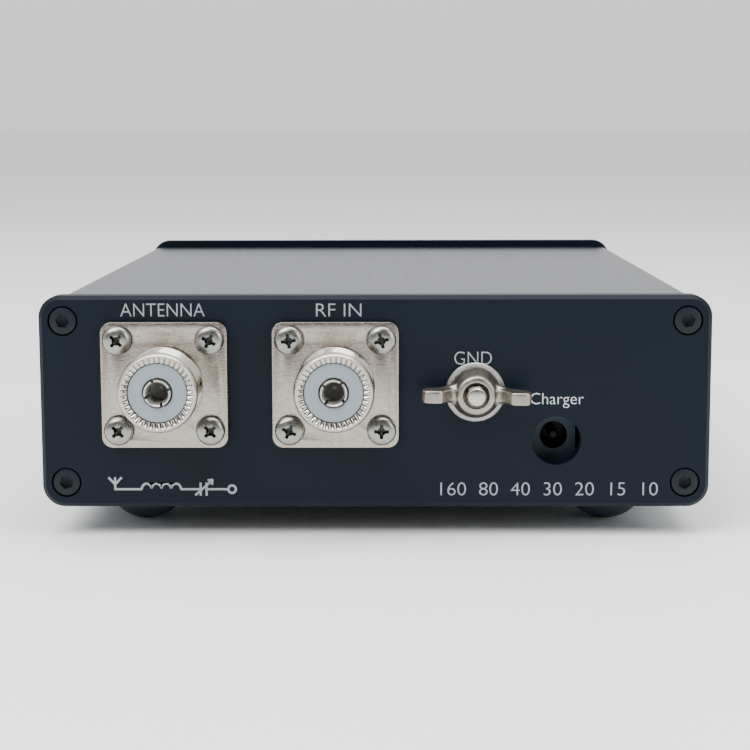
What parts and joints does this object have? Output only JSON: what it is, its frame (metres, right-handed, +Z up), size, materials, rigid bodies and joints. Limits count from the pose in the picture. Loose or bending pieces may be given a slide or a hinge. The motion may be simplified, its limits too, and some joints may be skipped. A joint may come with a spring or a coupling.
{
  "type": "antenna tuner",
  "caption": "Automatic antenna tuner for a radio station: flat extruded case with two coaxial sockets, a ground post with wing nut, a charger socket and push buttons.",
  "frame": {"origin": "middle of the overall box, on the surface that the feet stand on", "axes": "+X to the right as the connector panel is seen, +Y from the connector panel to the control panel, +Z up"},
  "size_m": [0.1354, 0.1972, 0.0493],
  "materials": {
    "black_anodised": "satin",
    "blackened_steel": "satin",
    "rubber_black": "matte",
    "nickel_plate": "satin",
    "zinc_steel": "satin",
    "insulator_plastic": "matte",
    "black_plastic": "satin",
    "copper_wire": "gloss",
    "board_laminate": "gloss",
    "relay_plastic": "satin",
    "iron_powder_core": "matte",
    "ferrite_core": "matte",
    "capacitor_coating": "satin",
    "capacitor_sleeve": "gloss",
    "chip_plastic": "matte",
    "cell_wrap": "gloss",
    "lamp_epoxy": "gloss",
    "red_lead": "satin",
    "white_plastic": "satin"
  },
  "bodies": {
    "case": {"case_sleeve": "black_anodised", "rear_panel": "black_anodised", "front_panel": "black_anodised", "rear_panel_screws": "blackened_steel", "front_panel_screws": "blackened_steel", "rubber_feet": "rubber_black", "antenna_socket_body": "nickel_plate", "antenna_socket_insulator": "insulator_plastic", "antenna_socket_contact": "nickel_plate", "antenna_socket_screws": "zinc_steel", "antenna_socket_nuts": "zinc_steel", "rf_in_socket_body": "nickel_plate", "rf_in_socket_insulator": "insulator_plastic", "rf_in_socket_contact": "nickel_plate", "rf_in_socket_screws": "zinc_steel", "rf_in_socket_nuts": "zinc_steel", "ground_stud": "nickel_plate", "ground_lug": "nickel_plate", "ground_wire": "copper_wire", "antenna_lead": "copper_wire", "rf_in_lead": "copper_wire", "charger_jack_housing": "black_plastic", "charger_jack_pin": "nickel_plate", "charger_jack_contact": "nickel_plate", "main_board": "board_laminate", "relays": "relay_plastic", "inductor_cores": "iron_powder_core", "inductor_windings": "copper_wire", "air_coils": "copper_wire", "rf_capacitors": "capacitor_coating", "bridge_core": "ferrite_core", "bridge_winding": "copper_wire", "microcontroller": "chip_plastic", "electrolytic_capacitors": "capacitor_sleeve", "voltage_regulator": "chip_plastic", "crystal": "zinc_steel", "battery_holder": "black_plastic", "battery_cells": "cell_wrap", "battery_springs": "zinc_steel", "battery_leads": "red_lead", "front_board": "board_laminate", "front_board_header": "black_plastic", "status_leds": "lamp_epoxy", "led_leads": "zinc_steel", "led_spacers": "black_plastic", "tune_switch_body": "black_plastic", "tune_spring": "zinc_steel", "power_switch_body": "black_plastic", "power_spring": "zinc_steel"},
    "washer": {"ground_washer": "nickel_plate"},
    "wing_nut": {"wing_nut": "nickel_plate"},
    "tune_button": {"tune_button_cap": "black_plastic", "tune_plunger": "white_plastic"},
    "power_button": {"power_button_cap": "black_plastic", "power_plunger": "white_plastic"}
  },
  "joints": [
    {"name": "washer_lift", "type": "slide", "parent": "case", "child": "washer", "axis": [0, -1, 0], "range_m": [0, 0.0021]},
    {"name": "wing_nut_turn", "type": "hinge", "parent": "washer", "child": "wing_nut", "pos_m": [0.0202, -0.0864, 0.0298], "axis": [0, -1, 0], "range_deg": [0, 1085]},
    {"name": "tune_press", "type": "slide", "parent": "case", "child": "tune_button", "axis": [0, -1, 0], "range_m": [0, 0.0025], "stiffness_N_per_m": 900, "springref_m": -0.0006, "deforming": ["tune_spring"]},
    {"name": "power_press", "type": "slide", "parent": "case", "child": "power_button", "axis": [0, -1, 0], "range_m": [0, 0.0025], "stiffness_N_per_m": 900, "springref_m": -0.0006, "deforming": ["power_spring"]}
  ],
  "couplings": [
    {"joint": "wing_nut_turn", "follows": "washer_lift", "rad_per_m": 8976}
  ]
}
